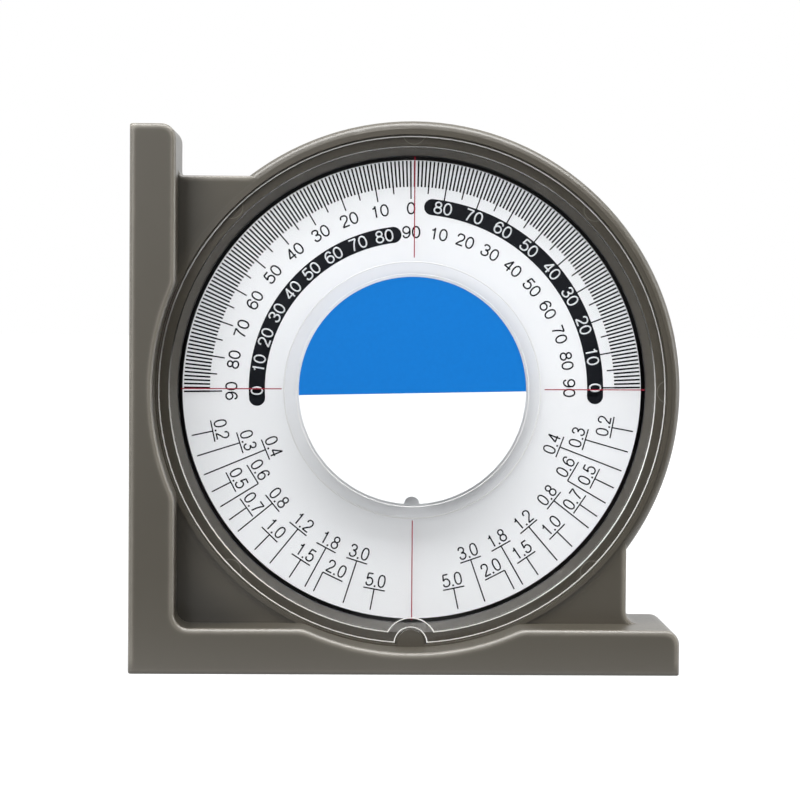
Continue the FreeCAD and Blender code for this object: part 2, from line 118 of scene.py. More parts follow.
# %% Lamps
# Each row gives a name, a place seen from the dial's middle, a width, a height and a power in watts.
lamp_rows = (
    ("overhead", (0.0, -0.17, 0.52), 1.00, 0.26, 7.2),
    ("front_left", (-0.35, -0.62, 0.12), 0.45, 0.45, 1.8),
    ("front_top", (0.0, -0.60, 0.38), 0.50, 0.30, 1.1),
    ("left_strip", (-0.60, -0.12, 0.02), 0.10, 0.60, 0.8),
    ("right_side", (0.62, -0.16, 0.02), 0.20, 0.60, 1.7),
)
middle = Vector((axis_x, 0.0, axis_z))
for name, from_middle, width, height, power in lamp_rows:
    add_lamp(name, middle + Vector(from_middle), width, height, power, middle)

# %% [markdown]
# ## Node helpers
# A finish is a tree of small nodes, and most of them only add, multiply or stretch a number. These
# helpers place one such node and hand back its output, so that a finish reads like a sum.

# %% Node helpers
def feed(tree, socket, value):
    """Sets a socket to a number, or links it to another socket."""
    if isinstance(value, (int, float)):
        socket.default_value = value
    else:
        tree.links.new(value, socket)


def math_node(tree, operation, first, second=None):
    """A Math node fed by sockets or numbers; returns its output."""
    node = tree.nodes.new("ShaderNodeMath")
    node.operation = operation
    feed(tree, node.inputs[0], first)
    if second is not None:
        feed(tree, node.inputs[1], second)
    return node.outputs["Value"]


def product(tree, first, *others):
    """The product of sockets and numbers."""
    for other in others:
        first = math_node(tree, "MULTIPLY", first, other)
    return first


def opposite(tree, mask):
    """1 minus a mask."""
    return math_node(tree, "SUBTRACT", 1.0, mask)


def map_range(tree, value, from_min, from_max, to_min, to_max):
    """A clamped Map Range node; returns its output."""
    node = tree.nodes.new("ShaderNodeMapRange")
    tree.links.new(value, node.inputs["Value"])
    numbers = {"From Min": from_min, "From Max": from_max, "To Min": to_min, "To Max": to_max}
    for label, number in numbers.items():
        feed(tree, node.inputs[label], number)
    return node.outputs["Result"]


def bent_rays(tree):
    """1 for rays that come from a mirror or through clear glass."""
    path = tree.nodes.new("ShaderNodeLightPath")
    return math_node(tree, "MAXIMUM", path.outputs["Is Glossy Ray"], path.outputs["Is Transmission Ray"])


def seen_rays(tree, beside):
    """1 for camera rays, and the share called beside for rays from mirrors and through clear glass."""
    path = tree.nodes.new("ShaderNodeLightPath")
    return math_node(tree, "MAXIMUM", path.outputs["Is Camera Ray"], product(tree, bent_rays(tree), beside))

# %% [markdown]
# ## Background
# The photograph's background is white. A world that is white for the camera gives that without more light
# on the tool. For the rest it is a room, nearly dark in front, behind the camera, so that nothing shows in
# the flat lens, and pale at the back. Mirrored and bent rays that leave to the sides or the back see the
# white too, so that the edges have something to show.

# %% World
world = bpy.data.worlds.new("studio")
world.use_nodes = True
bpy.context.scene.world = world
sky = world.node_tree
sky.nodes.clear()
room_front_level = 0.06
room_back_level = 0.85
room_front_y = -0.35
room_back_y = 0.25
direction = sky.nodes.new("ShaderNodeSeparateXYZ")
sky.links.new(sky.nodes.new("ShaderNodeTexCoord").outputs["Generated"], direction.inputs["Vector"])
ray_y = direction.outputs["Y"]
beside_camera = map_range(sky, ray_y, room_front_y, 0.0, 0.0, 1.0)
room = sky.nodes.new("ShaderNodeBackground")
room.inputs["Color"].default_value = (0.92, 0.96, 1.0, 1.0)
room_level = map_range(sky, ray_y, room_front_y, room_back_y, room_front_level, room_back_level)
sky.links.new(room_level, room.inputs["Strength"])
backdrop = sky.nodes.new("ShaderNodeBackground")
backdrop.inputs["Color"].default_value = (1.0, 1.0, 1.0, 1.0)
backdrop.inputs["Strength"].default_value = 1.0
choose = sky.nodes.new("ShaderNodeMixShader")
world_output = sky.nodes.new("ShaderNodeOutputWorld")
sky.links.new(seen_rays(sky, beside_camera), choose.inputs["Fac"])
sky.links.new(room.outputs["Background"], choose.inputs[1])
sky.links.new(backdrop.outputs["Background"], choose.inputs[2])
sky.links.new(choose.outputs["Shader"], world_output.inputs["Surface"])
print("room level", room_front_level, "in front and", room_back_level, "at the back")

# %% [markdown]
# ## Floor
# The floor is one large sheet under the base. Near the tool it is pale paint, so it keeps the shadow.
# Farther out it turns into the background's own white, so no line shows where it ends. Its part in front
# of the tool is dark for mirrored rays only, because a bright sheet there would haze the lens.

# %% Floor sheet
floor_size = 6.0
floor_mesh = bpy.data.meshes.new("floor")
floor_builder = bmesh.new()
bmesh.ops.create_grid(floor_builder, x_segments=1, y_segments=1, size=0.5 * floor_size)
floor_builder.to_mesh(floor_mesh)
floor_builder.free()
floor = bpy.data.objects.new("floor", floor_mesh)
bpy.context.scene.collection.objects.link(floor)
print("floor", floor_size, "m wide")

# %% Floor paint
paint_level = 0.33
mirrored_front_level = 0.02
front_part_y = -0.10
shadow_reach = 0.12
shadow_fade = 0.45
floor_lift = 0.66
floor_paint = bpy.data.materials.new("floor_paint")
floor_paint.use_nodes = True
floor_tree = floor_paint.node_tree
floor_shader = floor_tree.nodes["Principled BSDF"]
floor_shader.inputs["Roughness"].default_value = 0.9
floor_shader.inputs["Specular IOR Level"].default_value = 0.0
floor_shader.inputs["Emission Color"].default_value = (1.0, 1.0, 1.0, 1.0)
floor_coordinate = floor_tree.nodes.new("ShaderNodeTexCoord").outputs["Object"]
floor_distance = floor_tree.nodes.new("ShaderNodeVectorMath")
floor_distance.operation = "LENGTH"
floor_tree.links.new(floor_coordinate, floor_distance.inputs[0])
floor_parts = floor_tree.nodes.new("ShaderNodeSeparateXYZ")
floor_tree.links.new(floor_coordinate, floor_parts.inputs["Vector"])
floor_beside = map_range(floor_tree, floor_parts.outputs["Y"], front_part_y, 0.0, 0.0, 1.0)
in_front = opposite(floor_tree, floor_beside)
unmirrored = opposite(floor_tree, product(floor_tree, bent_rays(floor_tree), in_front))
floor_level = map_range(floor_tree, unmirrored, 0.0, 1.0, mirrored_front_level, paint_level)
floor_colour = floor_tree.nodes.new("ShaderNodeCombineColor")
for label in ("Red", "Green", "Blue"):
    floor_tree.links.new(floor_level, floor_colour.inputs[label])
floor_tree.links.new(floor_colour.outputs["Color"], floor_shader.inputs["Base Color"])
floor_far = map_range(floor_tree, floor_distance.outputs["Value"], shadow_reach, shadow_fade, floor_lift, 1.0)
floor_glow = product(floor_tree, seen_rays(floor_tree, floor_beside), floor_far)
floor_tree.links.new(floor_glow, floor_shader.inputs["Emission Strength"])
floor_mesh.materials.append(floor_paint)
print("floor paint", paint_level)

# %% [markdown]
# ## Effects that several finishes share
# Moulded plastic, printed discs and metal all vary a little in tone, have a fine grain, and are lighter at
# edges that have been rubbed. On the case the pale edges are also a painted highlight. Each effect could be
# laid out again in every material. Here it is a node group, made once, with its own inputs, and each material
# places it with its own values.

# %% Group helpers
def new_group(name, inputs, outputs):
    """A shader node group with float or colour sockets."""
    group = bpy.data.node_groups.new(name, "ShaderNodeTree")
    for label, kind, value in inputs:
        socket = group.interface.new_socket(label, in_out="INPUT", socket_type=kind)
        socket.default_value = value
    for label, kind in outputs:
        group.interface.new_socket(label, in_out="OUTPUT", socket_type=kind)
    enter = group.nodes.new("NodeGroupInput")
    leave = group.nodes.new("NodeGroupOutput")
    print("group", name)
    return group, enter, leave


def object_place(tree):
    """The Object coordinate, which is the place in the model in metres."""
    return tree.nodes.new("ShaderNodeTexCoord").outputs["Object"]


def noise_at(tree, scale, detail):
    """A noise value from 0 to 1 with about scale lumps per metre."""
    noise = tree.nodes.new("ShaderNodeTexNoise")
    noise.inputs["Detail"].default_value = detail
    tree.links.new(object_place(tree), noise.inputs["Vector"])
    feed(tree, noise.inputs["Scale"], scale)
    return noise.outputs["Fac"]

# %% Tone group
tone, enter, leave = new_group(
    "uneven_tone",
    [("Color", "NodeSocketColor", (0.5, 0.5, 0.5, 1.0)),
     ("Spread", "NodeSocketFloat", 0.05),
     ("Scale", "NodeSocketFloat", 60.0)],
    [("Color", "NodeSocketColor")],
)
cloud = noise_at(tone, enter.outputs["Scale"], 3.0)
swing = product(tone, math_node(tone, "SUBTRACT", cloud, 0.5), enter.outputs["Spread"], 2.0)
shade = tone.nodes.new("ShaderNodeHueSaturation")
tone.links.new(enter.outputs["Color"], shade.inputs["Color"])
tone.links.new(math_node(tone, "ADD", swing, 1.0), shade.inputs["Value"])
tone.links.new(shade.outputs["Color"], leave.inputs["Color"])

# %% Grain group
fine_share = 0.7
coarse_share = 0.3
coarse_scale = 0.3
grain, enter, leave = new_group(
    "fine_grain",
    [("Scale", "NodeSocketFloat", 5000.0), ("Depth", "NodeSocketFloat", 0.00001)],
    [("Height", "NodeSocketFloat"), ("Mask", "NodeSocketFloat")],
)
fine = noise_at(grain, enter.outputs["Scale"], 2.0)
coarse = noise_at(grain, product(grain, enter.outputs["Scale"], coarse_scale), 1.0)
both = math_node(grain, "ADD", product(grain, fine, fine_share), product(grain, coarse, coarse_share))
grain.links.new(product(grain, both, enter.outputs["Depth"]), leave.inputs["Height"])
grain.links.new(both, leave.inputs["Mask"])

# %% [markdown]
# An edge that hands rub turns pale. On the case the same pale edge is also a painted highlight, which stands
# in for the light lines along the rounded edges. Painting it by hand would work on one piece only. Rays sent
# into the piece find its far side soon where an edge is near, so an occlusion that looks inside marks the
# convex edges of any piece. A faint noise breaks the mark up, because hands don't rub evenly.

# %% Edge group
edge_mark_reach = 1.3 * MM
edge_mark_starts = 0.03
edge_mark_full = 0.24
patch_scale = 260.0
edge_wear_and_highlight, enter, leave = new_group(
    "rubbed_and_highlit_edges",
    [("Breakup", "NodeSocketFloat", 0.06), ("Amount", "NodeSocketFloat", 1.0)],
    [("Mask", "NodeSocketFloat")],
)
inside = edge_wear_and_highlight.nodes.new("ShaderNodeAmbientOcclusion")
inside.inside = True
inside.samples = 12
inside.inputs["Distance"].default_value = edge_mark_reach
patches = product(edge_wear_and_highlight, noise_at(edge_wear_and_highlight, patch_scale, 4.0), enter.outputs["Breakup"])
raised = math_node(edge_wear_and_highlight, "SUBTRACT", opposite(edge_wear_and_highlight, inside.outputs["AO"]), patches)
rubbed_and_highlit = map_range(edge_wear_and_highlight, raised, edge_mark_starts, edge_mark_full, 0.0, 1.0)
edge_wear_and_highlight.links.new(product(edge_wear_and_highlight, rubbed_and_highlit, enter.outputs["Amount"]), leave.inputs["Mask"])

# %% [markdown]
# Fine dust settles in the hollows, where nobody wipes. A plain occlusion finds them, and a fine noise
# turns its smooth mark into specks.

# %% Dust group
dust_reach = 4.0 * MM
speck_scale = 2600.0
dust, enter, leave = new_group(
    "settled_dust", [("Amount", "NodeSocketFloat", 0.2)], [("Mask", "NodeSocketFloat")])
shelter = dust.nodes.new("ShaderNodeAmbientOcclusion")
shelter.samples = 8
shelter.inputs["Distance"].default_value = dust_reach
specks = map_range(dust, noise_at(dust, speck_scale, 3.0), 0.45, 0.75, 0.2, 1.0)
dusty = product(dust, opposite(dust, shelter.outputs["AO"]), specks, enter.outputs["Amount"])
dust.links.new(dusty, leave.inputs["Mask"])

# %% [markdown]
# ## A finish
# Most of the finishes differ only in colour, gloss, grain and wear, so one function lays the nodes out.
# The shader itself and every plain number on it stay in the material, where the export can read them.

# %% Colour helpers
def use_group(tree, group, **values):
    """Places a shared group in a material with its own values."""
    node = tree.nodes.new("ShaderNodeGroup")
    node.node_tree = group
    for label, value in values.items():
        node.inputs[label].default_value = value
    return node


def mix_colour(tree, mask, first, second):
    """Mixes two colours, each a socket or a tuple, by a mask; returns the output."""
    node = tree.nodes.new("ShaderNodeMix")
    node.data_type = "RGBA"
    tree.links.new(mask, node.inputs["Factor"])
    for index, value in ((6, first), (7, second)):
        if isinstance(value, tuple):
            node.inputs[index].default_value = (*value, 1.0)
        else:
            tree.links.new(value, node.inputs[index])
    return node.outputs[2]

# %% Finish helper
dust_colour = (0.42, 0.40, 0.37)
grain_strength = 0.6


def make_finish(name, colour, pale_edge_colour, roughness, metallic=0.0, spread=0.05, tone_scale=60.0, grain_scale=5000.0,
                grain_depth=0.000006, pale_edge_amount=0.5, dust_amount=0.1, gloss_swing=0.12, shine=0.5):
    """A procedural finish: uneven tone, pale rubbed edges (on the case also a painted highlight), settled dust,
    grain and uneven gloss.
    """
    material = bpy.data.materials.new(name)
    material.use_nodes = True
    tree = material.node_tree
    shader = tree.nodes["Principled BSDF"]
    shader.inputs["Metallic"].default_value = metallic
    shader.inputs["Specular IOR Level"].default_value = shine
    tone_node = use_group(tree, tone, Spread=spread, Scale=tone_scale)
    tone_node.inputs["Color"].default_value = (*colour, 1.0)
    grain_node = use_group(tree, grain, Scale=grain_scale, Depth=grain_depth)
    grain_node.name = "grain"
    edge_node = use_group(tree, edge_wear_and_highlight, Amount=pale_edge_amount)
    edge_node.name = "edge_wear_and_highlight"
    dust_node = use_group(tree, dust, Amount=dust_amount)
    with_wear_and_highlight = mix_colour(tree, edge_node.outputs["Mask"], tone_node.outputs["Color"], pale_edge_colour)
    with_dust = mix_colour(tree, dust_node.outputs["Mask"], with_wear_and_highlight, dust_colour)
    tree.links.new(with_dust, shader.inputs["Base Color"])
    smoothest = roughness - 0.5 * gloss_swing
    roughest = roughness + 0.5 * gloss_swing
    gloss = map_range(tree, grain_node.outputs["Mask"], 0.2, 0.8, smoothest, roughest)
    tree.links.new(gloss, shader.inputs["Roughness"])
    bump = tree.nodes.new("ShaderNodeBump")
    bump.inputs["Distance"].default_value = 1.0
    bump.inputs["Strength"].default_value = grain_strength
    tree.links.new(grain_node.outputs["Height"], bump.inputs["Height"])
    tree.links.new(bump.outputs["Normal"], shader.inputs["Normal"])
    print("finish", name)
    return material

# %% [markdown]
# ## The finishes
# The case is a warm grey moulding, the dial a white printed disc, and the inks are nearly flat. The metals
# and the magnets are mostly hidden, and show only from behind and at the legs' outer faces. A colour is
# written as it should look in plain light, with the colour of its pale edge beside it. On the case that pale
# edge colour is wear and a painted highlight.

# %% Plastic and dial
# the pale edge colour of the case is wear and a painted highlight on its rounded edges
housing_plastic = make_finish(
    "housing_plastic", (0.0565, 0.0487, 0.0350), (0.31, 0.285, 0.24), 0.35,
    spread=0.035, tone_scale=45.0, grain_scale=4200.0, grain_depth=0.000004, pale_edge_amount=0.62, dust_amount=0.03,
    shine=0.9)
dial_white = make_finish(
    "dial_white", (0.855, 0.87, 0.89), (0.90, 0.91, 0.93), 0.5,
    spread=0.01, tone_scale=70.0, grain_scale=7000.0, grain_depth=0.000002, pale_edge_amount=0.2, dust_amount=0.0,
    shine=0.3)

# %% Inks
make_ink = partial(
    make_finish, tone_scale=900.0, grain_scale=9000.0, grain_depth=0.000002, pale_edge_amount=0.0, dust_amount=0.0)
ink_black = make_ink("ink_black", (0.006, 0.007, 0.010), (0.03, 0.03, 0.035), 0.6, spread=0.2, shine=0.08)
ink_white = make_ink("ink_white", (0.80, 0.82, 0.85), (0.9, 0.9, 0.9), 0.5, spread=0.03, shine=0.2)
hairline_red = make_ink("hairline_red", (0.37, 0.030, 0.055), (0.5, 0.1, 0.1), 0.5, spread=0.08, shine=0.1)
hairline_cover = 0.88
hairline_red.node_tree.nodes["Principled BSDF"].inputs["Alpha"].default_value = hairline_cover

# %% Metals and magnets
turned_brass = make_finish(
    "turned_brass", (0.72, 0.50, 0.20), (0.86, 0.68, 0.36), 0.32, metallic=1.0,
    spread=0.06, tone_scale=300.0, grain_scale=9000.0, grain_depth=0.000003, pale_edge_amount=0.5, dust_amount=0.1)
zinc_steel = make_finish(
    "zinc_steel", (0.52, 0.53, 0.55), (0.68, 0.68, 0.68), 0.34, metallic=1.0,
    spread=0.10, tone_scale=400.0, grain_scale=6000.0, grain_depth=0.000004, pale_edge_amount=0.6, dust_amount=0.15)
spring_steel = make_finish(
    "spring_steel", (0.20, 0.21, 0.24), (0.45, 0.45, 0.47), 0.30, metallic=1.0,
    spread=0.15, tone_scale=500.0, grain_scale=6000.0, grain_depth=0.000003, pale_edge_amount=0.6, dust_amount=0.1)
plate_steel = make_finish(
    "plate_steel", (0.40, 0.40, 0.41), (0.62, 0.62, 0.62), 0.38, metallic=1.0,
    spread=0.12, tone_scale=250.0, grain_scale=3500.0, grain_depth=0.000006, pale_edge_amount=0.5, dust_amount=0.1)
magnet_black = make_finish(
    "magnet_black", (0.035, 0.035, 0.038), (0.16, 0.16, 0.165), 0.55,
    spread=0.25, tone_scale=1800.0, grain_scale=5200.0, grain_depth=0.00002, pale_edge_amount=0.7, dust_amount=0.2)

# %% [markdown]
# ## Masks on the case
# The moulding is one plastic, and yet it looks different in places. Painted shade makes the chamber round the
# dial black and darkens the lower funnel under the lens and the corner beside the side leg, and painted light
# lightens the upper flange under the lens. The grain is smoother under the lens, and the edges are pale from
# wear and from a painted highlight. Separate materials would need the mesh cut up. So the one finish reads
# how far a point lies from the dial's axis, and a mask for each place changes the colour, the edge wear and
# highlight or the grain there.

# %% Mask helpers
def length_of(tree, first, second):
    """The length of the line whose two shares at a right angle are given."""
    squares = math_node(tree, "ADD", product(tree, first, first), product(tree, second, second))
    return math_node(tree, "SQRT", squares)


def from_dial_axis(tree):
    """How far right, back and up of the dial's axis a point lies, and its distance from the axis."""
    offset = tree.nodes.new("ShaderNodeVectorMath")
    offset.operation = "SUBTRACT"
    tree.links.new(object_place(tree), offset.inputs[0])
    offset.inputs[1].default_value = (axis_x, 0.0, axis_z)
    parts = tree.nodes.new("ShaderNodeSeparateXYZ")
    tree.links.new(offset.outputs["Vector"], parts.inputs["Vector"])
    right, back, up = (parts.outputs[label] for label in "XYZ")
    return right, back, up, length_of(tree, right, up)


def scale_colour(material, level):
    """Multiplies a finish's colour by a level that changes over the surface."""
    tree = material.node_tree
    colour = tree.nodes["Principled BSDF"].inputs["Base Color"]
    scaled = tree.nodes.new("ShaderNodeHueSaturation")
    tree.links.new(colour.links[0].from_socket, scaled.inputs["Color"])
    tree.links.new(level, scaled.inputs["Value"])
    tree.links.new(scaled.outputs["Color"], colour)


def shade_by(material, mask, darkness):
    """Multiplies a finish's colour by 1 minus darkness where the mask is 1."""
    tree = material.node_tree
    scale_colour(material, opposite(tree, product(tree, mask, darkness)))


def mix_in(material, mask, colour):
    """Puts another colour on a finish where the mask is 1."""
    tree = material.node_tree
    socket = tree.nodes["Principled BSDF"].inputs["Base Color"]
    tree.links.new(mix_colour(tree, mask, socket.links[0].from_socket, colour), socket)

# %% Places on the case
housing_tree = housing_plastic.node_tree
right, back, up, radius = from_dial_axis(housing_tree)
case_product = partial(product, housing_tree)
case_opposite = partial(opposite, housing_tree)


def from_to(value, off, full):
    """A mask on the case that is 0 at off millimetres and 1 at full millimetres."""
    return map_range(housing_tree, value, off * MM, full * MM, 0.0, 1.0)

# %% Painted shade and light round the dial
# Each pair says where a mask is 0 and where it is 1, in millimetres. A shade is painted shade, and a shade below 0
# is painted light, which makes a place lighter.
chamber_front = (-0.95, -0.8)
chamber_back = (12.6, 12.3)
chamber_wall = (43.3, 43.0)
seat_front = (-3.5, -3.3)
seat_back = (0.5, -0.5)
seat_wall = (46.6, 46.4)
funnel_wall = (44.6, 44.3)
funnel_painted_shade = 0.35
flange_painted_light = -0.40
chamber_painted_shade = 0.95
# painted shade: the chamber behind the dial is darkened nearly to black, as shade would leave it
shaded_chamber = case_product(
    from_to(back, *chamber_front), from_to(back, *chamber_back), from_to(radius, *chamber_wall))
covered = case_product(from_to(radius, *seat_wall), from_to(back, *seat_front), from_to(back, *seat_back))
funnel = from_to(radius, *funnel_wall)
lower_part = from_to(up, 10.0, -25.0)
# painted shade darkens the lower funnel under the lens, and painted light lightens the upper flange
shade_by(housing_plastic, case_product(covered, funnel, lower_part), funnel_painted_shade)
painted_light_on_upper_flange = case_product(covered, case_opposite(funnel), case_opposite(lower_part))
shade_by(housing_plastic, painted_light_on_upper_flange, flange_painted_light)
shade_by(housing_plastic, shaded_chamber, chamber_painted_shade)
print("shades", funnel_painted_shade, flange_painted_light, chamber_painted_shade)

# %% [markdown]
# The pale edge colour on the case is wear and a painted highlight for the light lines along the rounded
# edges. It is left off the drum's front face, and nearly off the edge that stands on the ground. The plastic
# under the lens is smooth. The corner beside the side leg gets painted shade, which an occlusion of the case
# alone finds.

# %% Wear, painted highlight and grain on the case
off_drum_face = from_to(radius, 47.5, 47.7)
on_legs = from_to(back, -4.2, -4.4)
ground_edge_mark = 0.15
ground_up = -axis_z
off_ground = map_range(housing_tree, up, ground_up + 1.0 * MM, ground_up + 2.5 * MM, ground_edge_mark, 1.0)
# where the painted edge highlight and the wear go: off the drum's face and nearly off the ground edge
handled_and_highlit = case_product(math_node(housing_tree, "MAXIMUM", off_drum_face, on_legs), off_ground)
housing_wear_and_highlight = housing_tree.nodes["edge_wear_and_highlight"].inputs["Amount"]
housing_tree.links.new(case_product(handled_and_highlit, housing_wear_and_highlight.default_value), housing_wear_and_highlight)
lens_seat_smoothness = 0.85
rough_share = case_opposite(case_product(covered, lens_seat_smoothness))
housing_grain = housing_tree.nodes["grain"].inputs["Depth"]
housing_tree.links.new(case_product(rough_share, housing_grain.default_value), housing_grain)
print("wear on the ground edge", ground_edge_mark)

# %% Painted shade beside the side leg
corner_shade_reach = 10.0 * MM
corner_shade_amount = 0.55
corner_shade = housing_tree.nodes.new("ShaderNodeAmbientOcclusion")
corner_shade.samples = 8
corner_shade.only_local = True
corner_shade.inputs["Distance"].default_value = corner_shade_reach
# painted shade: the corner beside the side leg is darkened where the occlusion finds it
beside_leg = case_product(from_to(right, -26.0, -34.0), from_to(radius, 47.4, 49.2))
in_corner = map_range(housing_tree, corner_shade.outputs["AO"], 0.5, 0.9, 1.0, 0.0)
shade_by(housing_plastic, case_product(in_corner, beside_leg), corner_shade_amount)
print("corner_shade", corner_shade_amount)

# %% [markdown]
# Round pins push a moulding out of its mould, and each leaves a faint circle. Under the lens's flange
# they show as arcs. They are only a change of tone, so they need no geometry. The finish folds the angle
# round the axis into one eighth and draws a single circle there, which comes out all round. A mask takes
# it away beside the side leg and at the key.

# %% Ejector marks
pin_circle = 46.9 * MM
pin_radius = 2.1 * MM
pin_line = 0.09 * MM
pin_step = math.radians(45)
pin_strength = 0.3
pin_colour = (0.50, 0.48, 0.42)
case_math = partial(math_node, housing_tree)
turn_round = case_math("ADD", case_math("ARCTAN2", right, up), 0.5 * pin_step)
folded = case_math("SUBTRACT", case_math("FLOORED_MODULO", turn_round, pin_step), 0.5 * pin_step)
along = case_math("SUBTRACT", case_product(radius, case_math("COSINE", folded)), pin_circle)
aside = case_product(radius, case_math("SINE", folded))
from_pin = length_of(housing_tree, along, aside)
off_line = case_math("ABSOLUTE", case_math("SUBTRACT", from_pin, pin_radius))
on_line = map_range(housing_tree, off_line, 0.25 * pin_line, pin_line, 1.0, 0.0)
under_flange = case_product(from_to(radius, 44.5, 44.7), from_to(radius, 46.3, 46.2), covered)
no_pin_there = (-43.5, -42.5)
off_leg_and_key = case_product(from_to(right, *no_pin_there), from_to(up, *no_pin_there))
mix_in(housing_plastic, case_product(on_line, under_flange, off_leg_and_key, pin_strength), pin_colour)
print("marks every", round(math.degrees(pin_step)), "degrees")

# %% [markdown]
# ## Clear lens
# The lens is one moulding of clear acrylic: a flange, a raised plate and a round boss behind its middle.
# Real refraction draws its rim and steps. Light on its way to the dial has to pass through it, so rays
# from lamps and soft light see a plain transparent surface instead of the glass.

# %% Clear lens finish
lens_clearness = 0.99
lens_let_through = 0.95
acrylic_ior = 1.49
smear_scale = 90.0
smear_roughness = 0.012
clear_lens = bpy.data.materials.new("clear_lens")
clear_lens.use_nodes = True
lens_tree = clear_lens.node_tree
lens_shader = lens_tree.nodes["Principled BSDF"]
lens_shader.inputs["Base Color"].default_value = (lens_clearness, lens_clearness, lens_clearness, 1.0)
lens_shader.inputs["Transmission Weight"].default_value = 1.0
lens_shader.inputs["IOR"].default_value = acrylic_ior
lens_smear = map_range(lens_tree, noise_at(lens_tree, smear_scale, 5.0), 0.35, 0.75, 0.0, smear_roughness)
lens_tree.links.new(lens_smear, lens_shader.inputs["Roughness"])
lens_path = lens_tree.nodes.new("ShaderNodeLightPath")
lens_through = math_node(
    lens_tree, "MAXIMUM", lens_path.outputs["Is Shadow Ray"], lens_path.outputs["Is Diffuse Ray"])
lens_open = lens_tree.nodes.new("ShaderNodeBsdfTransparent")
lens_open.inputs["Color"].default_value = (lens_let_through, lens_let_through, lens_let_through, 1.0)
lens_mix = lens_tree.nodes.new("ShaderNodeMixShader")
lens_tree.links.new(lens_through, lens_mix.inputs["Fac"])
lens_tree.links.new(lens_shader.outputs["BSDF"], lens_mix.inputs[1])
lens_tree.links.new(lens_open.outputs["BSDF"], lens_mix.inputs[2])
lens_tree.links.new(lens_mix.outputs["Shader"], lens_tree.nodes["Material Output"].inputs["Surface"])
print("lens IOR", acrylic_ior)

# %% [markdown]
# ## Lens edges
# An acrylic moulding gathers light from above and lets it out at its rounded edges. So the rim's lower
# half glows softly, its upper half stays dull, and the raised plate's upper step is duller still. Plain
# refraction shows little of this, so it is painted light: the narrow edges get an opaque white finish of
# their own, lighter on the lower half and darker above, with a painted glow below.

# %% Lens edge finish
lens_edge_painted_light = make_finish(
    "lens_edge_painted_light", (0.90, 0.90, 0.88), (0.95, 0.95, 0.95), 0.22,
    spread=0.10, tone_scale=420.0, grain_scale=7000.0, grain_depth=0.000004, pale_edge_amount=0.0, dust_amount=0.0)
upper_step_shade_level = 0.04
upper_rim_shade_level = 0.70
rim_glow_strength = 0.30
edge_tree = lens_edge_painted_light.node_tree
_, _, edge_up, edge_radius = from_dial_axis(edge_tree)
# painted light and shade: the edge colour is lighter on the lower half, darker above, and glows below
lower_rim = map_range(edge_tree, edge_up, -14.0 * MM, 9.0 * MM, 1.0, 0.0)
outer_rim = map_range(edge_tree, edge_radius, 45.2 * MM, 45.6 * MM, 0.0, 1.0)
upper_shade_level = map_range(edge_tree, outer_rim, 0.0, 1.0, upper_step_shade_level, upper_rim_shade_level)
painted_light_below = product(edge_tree, opposite(edge_tree, upper_shade_level), lower_rim)
scale_colour(lens_edge_painted_light, math_node(edge_tree, "ADD", painted_light_below, upper_shade_level))
rim_glow = mix_colour(edge_tree, lower_rim, (0.0, 0.0, 0.0), (1.0, 0.98, 0.94))
edge_shader = edge_tree.nodes["Principled BSDF"]
edge_tree.links.new(rim_glow, edge_shader.inputs["Emission Color"])
edge_shader.inputs["Emission Strength"].default_value = rim_glow_strength

# %% [markdown]
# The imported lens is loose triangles, so its round faces would show facets. A merged copy takes its place,
# with its sharp edges marked and its normals weighted by face. The copy keeps the solid's shape.

# %% Lens with its edges marked
def merged_copy(name, node_name):
    """A copy of a solid piece's mesh, with its loose triangles joined and its sharp edges marked."""
    builder = bmesh.new()
    builder.from_mesh(nodes[node_name].data)
    bmesh.ops.remove_doubles(builder, verts=builder.verts, dist=1e-6)
    sharp_angle = math.radians(32)
    for edge in builder.edges:
        edge.smooth = len(edge.link_faces) == 2 and edge.calc_face_angle() < sharp_angle
    for face in builder.faces:
        face.smooth = True
    mesh = bpy.data.meshes.new(name)
    builder.to_mesh(mesh)
    builder.free()
    piece = bpy.data.objects.new(name, mesh)
    bpy.context.scene.collection.objects.link(piece)
    weighted = piece.modifiers.new("flat_faces", "WEIGHTED_NORMAL")
    weighted.keep_sharp = True
    return piece


lens_piece = merged_copy("lens_clear", "lens")
lens_piece.data.materials.append(clear_lens)
lens_piece.data.materials.append(lens_edge_painted_light)
edge_round = 0.25 * MM
flange_front_y = -3.6 * MM
side_slope = 0.12
front_slope = 0.99
edge_faces = 0
for face in lens_piece.data.polygons:
    rounded = side_slope < abs(face.normal.y) < front_slope
    near_front = face.center.y < flange_front_y + 1.2 * edge_round
    if rounded and near_front:
        face.material_index = 1
        edge_faces += 1
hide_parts("lens")
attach(lens_piece, "case")
print("lens faces", len(lens_piece.data.polygons), "edge faces", edge_faces)

# %% [markdown]
# ## Centre label
# The label is a round film with a blue upper half and a white lower half. It was stuck on by hand, so its
# dividing line leans a little. An image would do, but a step in height on the Object coordinate, turned by
# that lean, stays sharp at any distance.

# %% Label finish
label_lean = math.radians(1.3)
label_line_drop = 0.5 * MM
label_film = make_finish(
    "label_film", (0.90, 0.91, 0.92), (0.93, 0.93, 0.93), 0.38,
    spread=0.01, tone_scale=200.0, grain_scale=9000.0, grain_depth=0.000002, pale_edge_amount=0.0, dust_amount=0.0,
    shine=0.15)
label_tree = label_film.node_tree
label_right, _, label_up, _ = from_dial_axis(label_tree)
leaning = product(label_tree, label_right, math.tan(label_lean))
above_line = math_node(
    label_tree, "SUBTRACT", math_node(label_tree, "ADD", label_up, label_line_drop), leaning)
blue_half = math_node(label_tree, "GREATER_THAN", above_line, 0.0)
label_blue = use_group(label_tree, tone, Spread=0.05, Scale=1500.0)
label_blue.inputs["Color"].default_value = (0.003, 0.150, 0.50, 1.0)
mix_in(label_film, blue_half, label_blue.outputs["Color"])

